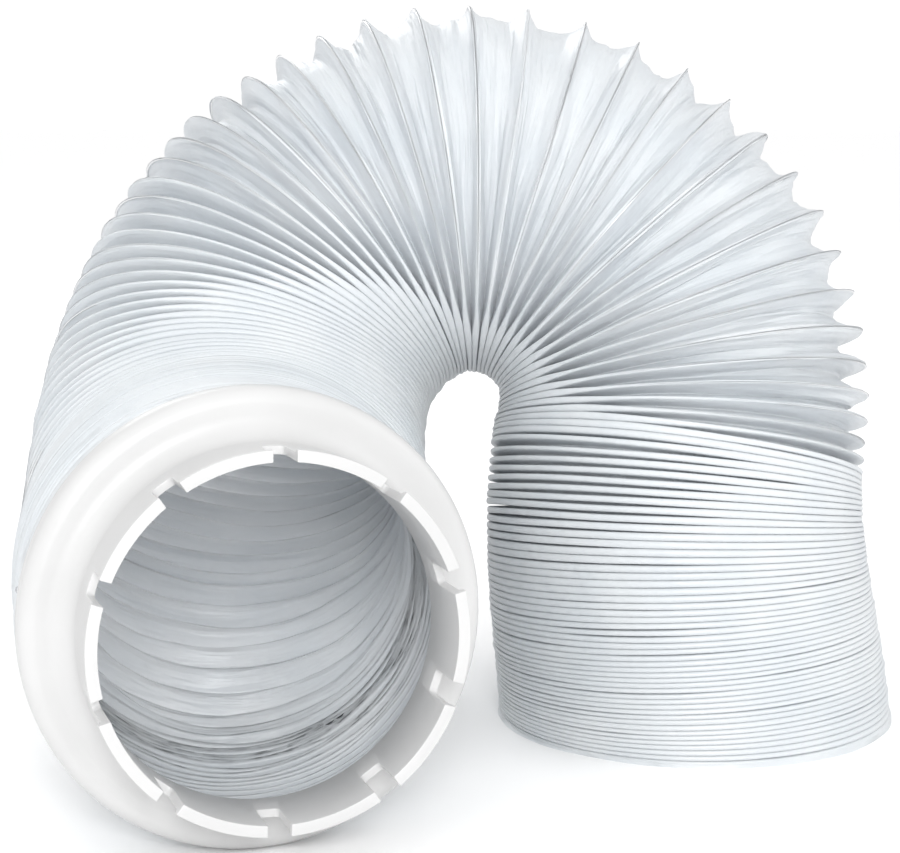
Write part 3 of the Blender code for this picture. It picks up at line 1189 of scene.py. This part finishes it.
@dataclass(frozen=True)
class FilmFinish:
    """Thin white plastic film: cool white, slightly glossy, light comes through it."""

    white: Colour = (0.78, 0.81, 0.83, 1.0)
    shade: Colour = (0.72, 0.76, 0.79, 1.0)
    through: Colour = (0.88, 0.875, 0.885, 1.0)
    roughness: float = 0.34
    roughness_swing: float = 0.16
    refraction: float = 1.46
    see_through: float = 0.32
    mottle_scale: float = 45.0
    mottle_edge: float = 0.25
    crinkle_scale: float = 260.0
    crinkle_height: float = 0.00025
    slack_scale: float = 75.0
    slack_height: float = 0.003
    streaks_along: float = 11.0
    streaks_across: float = 9.0
    streak_slant: float = 3.0
    streak_height: float = 0.0011

    def build(self) -> bpy.types.Material:
        """Returns the material."""
        shader = Shader("white_vinyl_film")
        place = shader.object_place()
        mottle = shader.noise(place, self.mottle_scale, detail=1.0)
        lighter = shader.smooth_step(mottle, -self.mottle_edge, self.mottle_edge)
        base = shader.mixed(lighter, self.shade, self.white)
        crinkle = shader.noise(place, self.crinkle_scale, detail=1.0)
        turn, share, _ = shader.split(shader.named("web_place", "Vector"))
        across = share * self.streaks_across + turn * self.streak_slant
        streak_place = shader.vector(turn * self.streaks_along, across, 0.0)
        streaks = shader.noise(streak_place, detail=2.0) * shader.named("openness", "Fac")
        slack = shader.noise(place, self.slack_scale, detail=1.0)
        slack = slack * shader.named("slackness", "Fac")
        normal = shader.bump(crinkle, self.crinkle_height)
        normal = shader.bump(slack, self.slack_height, normal)
        normal = shader.bump(streaks, self.streak_height, normal)
        skin = {
            "Base Color": base,
            "Roughness": mottle * self.roughness_swing + self.roughness,
            "IOR": self.refraction,
            "Normal": normal,
        }
        surface = shader.term("ShaderNodeBsdfPrincipled", None, skin)
        inside = {"Color": self.through, "Normal": normal}
        glow = shader.term("ShaderNodeBsdfTranslucent", None, inside)
        both = {0: self.see_through, 1: surface, 2: glow}
        return shader.show(shader.term("ShaderNodeMixShader", None, both))


@dataclass(frozen=True)
class WireFinish:
    """Spring steel wire with a dull drawn surface."""

    steel: Colour = (0.74, 0.75, 0.76, 1.0)
    roughness: float = 0.36
    roughness_swing: float = 0.2
    grain_scale: float = 900.0
    grain_height: float = 0.00002

    def build(self) -> bpy.types.Material:
        """Returns the material."""
        shader = Shader("spring_steel")
        grain = shader.noise(shader.object_place(), self.grain_scale, detail=2.0)
        skin = {
            "Base Color": self.steel,
            "Metallic": 1.0,
            "Roughness": grain * self.roughness_swing + self.roughness,
            "Normal": shader.bump(grain, self.grain_height),
        }
        return shader.show(shader.term("ShaderNodeBsdfPrincipled", None, skin))


@dataclass(frozen=True)
class CollarFinish:
    """Moulded white plastic with a satin skin."""

    white: Colour = (0.54, 0.54, 0.54, 1.0)
    deep: Colour = (0.51, 0.51, 0.51, 1.0)
    roughness: float = 0.38
    roughness_swing: float = 0.12
    refraction: float = 1.49
    glow: float = 0.15
    glow_reach: float = 0.004
    flow_scale: float = 28.0
    flow_edge: float = 0.2
    flow_height: float = 0.0003
    skin_scale: float = 700.0
    skin_height: float = 0.00003

    def build(self) -> bpy.types.Material:
        """Returns the material."""
        shader = Shader("moulded_white_plastic")
        place = shader.object_place()
        flow = shader.noise(place, self.flow_scale, detail=2.0)
        grain = shader.noise(place, self.skin_scale, detail=3.0)
        lighter = shader.smooth_step(flow, -self.flow_edge, self.flow_edge)
        normal = shader.bump(flow, self.flow_height)
        normal = shader.bump(grain, self.skin_height, normal)
        skin = {
            "Base Color": shader.mixed(lighter, self.deep, self.white),
            "Roughness": flow * self.roughness_swing + self.roughness,
            "IOR": self.refraction,
            "Subsurface Weight": self.glow,
            "Subsurface Radius": (self.glow_reach,) * 3,
            "Subsurface Scale": 1.0,
            "Normal": normal,
        }
        return shader.show(shader.term("ShaderNodeBsdfPrincipled", None, skin))


@dataclass(frozen=True)
class FloorFinish:
    """Plain pale paper."""

    pale: Colour = (0.97, 0.97, 0.97, 1.0)
    roughness: float = 0.85
    roughness_swing: float = 0.1
    sheen: float = 0.2
    grain_scale: float = 300.0

    def build(self) -> bpy.types.Material:
        """Returns the material."""
        shader = Shader("floor_paper")
        grain = shader.noise(shader.object_place(), self.grain_scale, detail=2.0)
        skin = {
            "Base Color": self.pale,
            "Roughness": grain * self.roughness_swing + self.roughness,
            "Specular IOR Level": self.sheen,
        }
        return shader.show(shader.term("ShaderNodeBsdfPrincipled", None, skin))


@dataclass(frozen=True)
class Lamp:
    """One soft light: where it is, its size and its power."""

    name: str
    place: tuple[float, float, float]
    size: float
    power: float


@dataclass
class Studio:
    """Pale floor, soft light and the camera at the photograph's angle."""

    foot: Vector
    view_from: tuple[float, float, float] = (-0.07054, -0.63488, 0.17911)
    view_tilt: float = math.radians(81.43)
    lens: float = 90.23
    aim: tuple[float, float, float] = (0.0, 0.0, 0.1)
    floor_radius: float = 9.0
    sky: float = 1.03
    lamps: tuple[Lamp, ...] = (
        Lamp("key_light", (-0.75, -1.25, 0.85), 0.6, 2.5),
        Lamp("front_light", (0.10, -1.5, 0.6), 0.5, 14.0),
        Lamp("side_light", (1.5, -0.2, 0.9), 0.9, 3.0),
        Lamp("back_light", (-0.5, 1.5, 0.9), 0.9, 5.0),
    )

    def floor(self) -> bpy.types.Object:
        """Makes the floor, which isn't part of the hose."""
        shape = bmesh.new()
        bmesh.ops.create_circle(shape, cap_ends=True, segments=96, radius=self.floor_radius)
        mesh = bpy.data.meshes.new("pale_floor")
        shape.to_mesh(mesh)
        shape.free()
        mesh.materials.append(FloorFinish().build())
        obj = placed("pale_floor", mesh)
        return obj

    def world(self) -> None:
        """Makes the even white surroundings."""
        world = bpy.data.worlds.new("white_room")
        world.use_nodes = True
        background = world.node_tree.nodes["Background"]
        background.inputs["Color"].default_value = (1.0, 1.0, 1.0, 1.0)
        background.inputs["Strength"].default_value = self.sky
        bpy.context.scene.world = world

    def light(self) -> None:
        """Makes the soft lights, each aimed at the hose's middle."""
        for lamp in self.lamps:
            data = bpy.data.lights.new(lamp.name, "AREA")
            data.shape = "DISK"
            data.size = lamp.size
            data.energy = lamp.power
            obj = placed(lamp.name, data)
            obj.location = lamp.place
            aim = Vector(self.aim) - Vector(lamp.place)
            obj.rotation_mode = "QUATERNION"
            obj.rotation_quaternion = aim.to_track_quat("-Z", "Y")

    def camera(self) -> None:
        """Makes the camera where the photograph was taken from."""
        data = bpy.data.cameras.new("photo_view")
        data.lens = self.lens
        data.sensor_width = 36.0
        data.clip_start = 0.01
        data.clip_end = 50.0
        obj = placed("photo_view", data)
        obj.location = self.foot + Vector(self.view_from)
        obj.rotation_euler = (self.view_tilt, 0.0, 0.0)
        bpy.context.scene.camera = obj

    def build(self) -> None:
        """Makes the floor, the light and the camera."""
        self.floor()
        self.world()
        self.light()
        self.camera()
        settings = bpy.context.scene.view_settings
        settings.view_transform = "Standard"
        settings.look = "None"


def foot_centre() -> Vector:
    """Returns the middle of the bare end, from the sleeve's lowest ring in the frame."""
    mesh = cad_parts[Node.SLEEVE.value].data
    floor_line = min(vertex.co.z for vertex in mesh.vertices) + 0.01 * MILLIMETRE
    ring = [vertex.co for vertex in mesh.vertices if vertex.co.z < floor_line]
    middle = [(min(p[axis] for p in ring) + max(p[axis] for p in ring)) / 2 for axis in (0, 1)]
    return Vector((*middle, 0.0))


def hand_over(piece: bpy.types.Object, node: Node) -> None:
    """Puts a finished piece on the frame and reports it.

    Args:
        piece: The piece.
        node: The CAD node that it stands for.
    """
    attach(piece, BODY)
    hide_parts(node.value)
    triangles = sum(len(face.vertices) - 2 for face in piece.data.polygons)
    log.info("%s: %d triangles, stands for %s", piece.name, triangles, node.value)


def main() -> None:
    """Builds the hose's pieces in order, then the studio round them."""
    logging.basicConfig(level=logging.INFO, format="%(name)s: %(message)s")
    sizes = HoseSizes()
    stray = Unevenness()
    foot = foot_centre()
    route = HoseRoute(sizes, foot)
    Studio(foot).build()
    film = PleatedFilm(sizes, route, stray)
    for piece in film.build(FilmFinish().build()):
        hand_over(piece, Node.SLEEVE)
    wire = SpringWire(sizes, route, stray)
    hand_over(wire.build(WireFinish().build()), Node.WIRE)
    collar = PushInCollar(route, sizes)
    hand_over(collar.build(CollarFinish().build()), Node.COLLAR)


if __name__ == "__main__":
    main()
